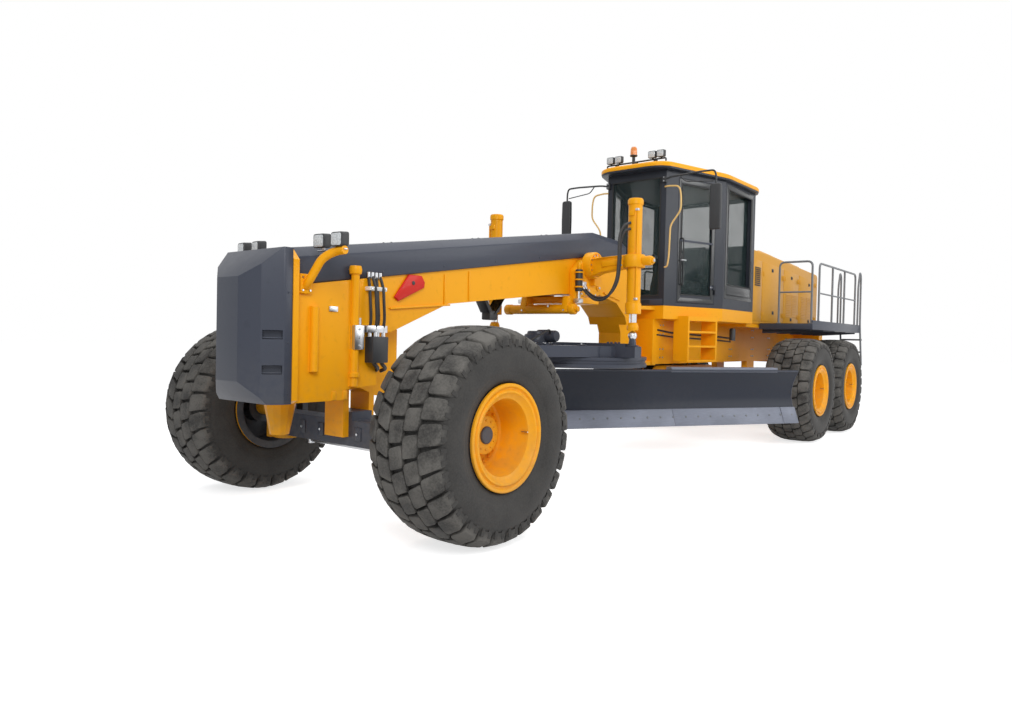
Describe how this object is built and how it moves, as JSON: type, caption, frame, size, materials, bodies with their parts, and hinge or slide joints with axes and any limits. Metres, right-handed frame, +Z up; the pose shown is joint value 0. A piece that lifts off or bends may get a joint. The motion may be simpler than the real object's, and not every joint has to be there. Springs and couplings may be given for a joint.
{
  "type": "motor grader",
  "caption": "Articulated road grading machine with a long beam over a turning blade, a glazed cab and tandem rear wheels.",
  "frame": {"origin": "on the ground, in the middle of the machine's length, on its centre plane", "axes": "+Z up, -Y forward, +X to the machine's left"},
  "size_m": [4.4389, 14.85, 5.1953],
  "materials": {
    "yellow_paint": "satin machine paint",
    "slate_paint": "satin machine paint",
    "edge_steel": "ground steel",
    "tyre_rubber": "dusty rubber",
    "chrome_rod": "polished",
    "cab_glass": "tinted",
    "black_plastic": "moulded",
    "hose_rubber": "smooth",
    "seat_fabric": "woven"
  },
  "bodies": {
    "rear": {"rear_frame": "yellow_paint", "rear_axle": "slate_paint", "left_tandem_case": "yellow_paint", "right_tandem_case": "yellow_paint", "cab_shell": "slate_paint", "cab_roof": "yellow_paint", "roof_lamps": "black_plastic", "windscreen": "cab_glass", "rear_glass": "cab_glass", "left_mirror": "black_plastic", "right_mirror": "black_plastic", "seat": "seat_fabric", "steering_console": "black_plastic", "engine_hood": "yellow_paint", "engine_block": "slate_paint", "left_platform": "black_plastic", "right_platform": "black_plastic"},
    "front": {"front_frame": "yellow_paint", "nose_cover": "slate_paint", "beam_cover": "slate_paint", "front_axle": "slate_paint", "blade_saddle": "yellow_paint", "left_lift_cylinder": "yellow_paint", "right_lift_cylinder": "yellow_paint", "left_work_lights": "yellow_paint", "right_work_lights": "yellow_paint", "front_hoses": "hose_rubber", "saddle_hoses": "hose_rubber"},
    "left_knuckle": {"left_knuckle": "slate_paint"},
    "right_knuckle": {"right_knuckle": "slate_paint"},
    "tie_rod": {"tie_rod": "slate_paint"},
    "left_lift_rod": {"left_lift_rod": "chrome_rod"},
    "right_lift_rod": {"right_lift_rod": "chrome_rod"},
    "drawbar": {"drawbar": "slate_paint", "circle_drive": "slate_paint"},
    "circle": {"circle": "slate_paint"},
    "blade_carrier": {"blade_carrier": "slate_paint"},
    "blade": {"moldboard": "slate_paint", "cutting_edge": "edge_steel"},
    "left_door": {"left_door": "slate_paint", "left_door_glass": "cab_glass"},
    "right_door": {"right_door": "slate_paint", "right_door_glass": "cab_glass"},
    "front_left_wheel": {"front_left_tyre": "tyre_rubber", "front_left_rim": "yellow_paint"},
    "front_right_wheel": {"front_right_tyre": "tyre_rubber", "front_right_rim": "yellow_paint"},
    "mid_left_wheel": {"mid_left_tyre": "tyre_rubber", "mid_left_rim": "yellow_paint"},
    "mid_right_wheel": {"mid_right_tyre": "tyre_rubber", "mid_right_rim": "yellow_paint"},
    "rear_left_wheel": {"rear_left_tyre": "tyre_rubber", "rear_left_rim": "yellow_paint"},
    "rear_right_wheel": {"rear_right_tyre": "tyre_rubber", "rear_right_rim": "yellow_paint"}
  },
  "joints": [
    {"name": "articulation", "type": "hinge", "parent": "rear", "child": "front", "pos_m": [0, -0.425, 1.92], "axis": [0, 0, -1], "range_deg": [-20, 20]},
    {"name": "left_steer", "type": "hinge", "parent": "front", "child": "left_knuckle", "pos_m": [1.12, -6.025, 0.87], "axis": [0, 0, 1], "range_deg": [-45, 45]},
    {"name": "right_steer", "type": "hinge", "parent": "front", "child": "right_knuckle", "pos_m": [-1.12, -6.025, 0.87], "axis": [0, 0, 1], "range_deg": [-45, 45]},
    {"name": "tie_rod_shift", "type": "slide", "parent": "front", "child": "tie_rod", "axis": [-1, 0, 0], "range_m": [-0.24, 0.24]},
    {"name": "blade_lift", "type": "hinge", "parent": "front", "child": "drawbar", "pos_m": [0, -5.575, 1.33], "axis": [-1, 0, 0], "range_deg": [0, 6]},
    {"name": "left_lift_rod_slide", "type": "slide", "parent": "front", "child": "left_lift_rod", "axis": [0, 0, -1], "range_m": [0, 0.36]},
    {"name": "right_lift_rod_slide", "type": "slide", "parent": "front", "child": "right_lift_rod", "axis": [0, 0, -1], "range_m": [0, 0.36]},
    {"name": "circle_turn", "type": "hinge", "parent": "drawbar", "child": "circle", "pos_m": [0, -1.975, 1.525], "axis": [0, 0, 1], "range_deg": [-105, 165]},
    {"name": "blade_tip", "type": "hinge", "parent": "circle", "child": "blade_carrier", "pos_m": [-0.29205, -1.8009, 0.7], "axis": [0.512, 0.859, 0], "range_deg": [-3, 25]},
    {"name": "blade_side_shift", "type": "slide", "parent": "blade_carrier", "child": "blade", "axis": [-0.512, -0.859, 0], "range_m": [0, 0.75]},
    {"name": "left_door_swing", "type": "hinge", "parent": "rear", "child": "left_door", "pos_m": [0.95077, 1.10141, 3.5], "axis": [0, 0, 1], "range_deg": [0, 80]},
    {"name": "right_door_swing", "type": "hinge", "parent": "rear", "child": "right_door", "pos_m": [-0.95077, 1.10141, 3.5], "axis": [0, 0, -1], "range_deg": [0, 80]},
    {"name": "front_left_wheel_spin", "type": "hinge", "parent": "left_knuckle", "child": "front_left_wheel", "pos_m": [1.75, -6.025, 0.97162], "axis": [1, 0, 0], "continuous": true},
    {"name": "front_right_wheel_spin", "type": "hinge", "parent": "right_knuckle", "child": "front_right_wheel", "pos_m": [-1.75, -6.025, 0.97162], "axis": [1, 0, 0], "continuous": true},
    {"name": "mid_left_wheel_spin", "type": "hinge", "parent": "rear", "child": "mid_left_wheel", "pos_m": [1.75, 3.325, 0.97162], "axis": [1, 0, 0], "continuous": true},
    {"name": "mid_right_wheel_spin", "type": "hinge", "parent": "rear", "child": "mid_right_wheel", "pos_m": [-1.75, 3.325, 0.97162], "axis": [1, 0, 0], "continuous": true},
    {"name": "rear_left_wheel_spin", "type": "hinge", "parent": "rear", "child": "rear_left_wheel", "pos_m": [1.75, 5.465, 0.97162], "axis": [1, 0, 0], "continuous": true},
    {"name": "rear_right_wheel_spin", "type": "hinge", "parent": "rear", "child": "rear_right_wheel", "pos_m": [-1.75, 5.465, 0.97162], "axis": [1, 0, 0], "continuous": true}
  ],
  "couplings": [
    {"joint": "right_steer", "follows": "left_steer", "ratio": 1},
    {"joint": "tie_rod_shift", "follows": "left_steer", "m_per_rad": 0.297},
    {"joint": "left_lift_rod_slide", "follows": "blade_lift", "m_per_rad": 3.374},
    {"joint": "right_lift_rod_slide", "follows": "blade_lift", "m_per_rad": 3.374}
  ]
}
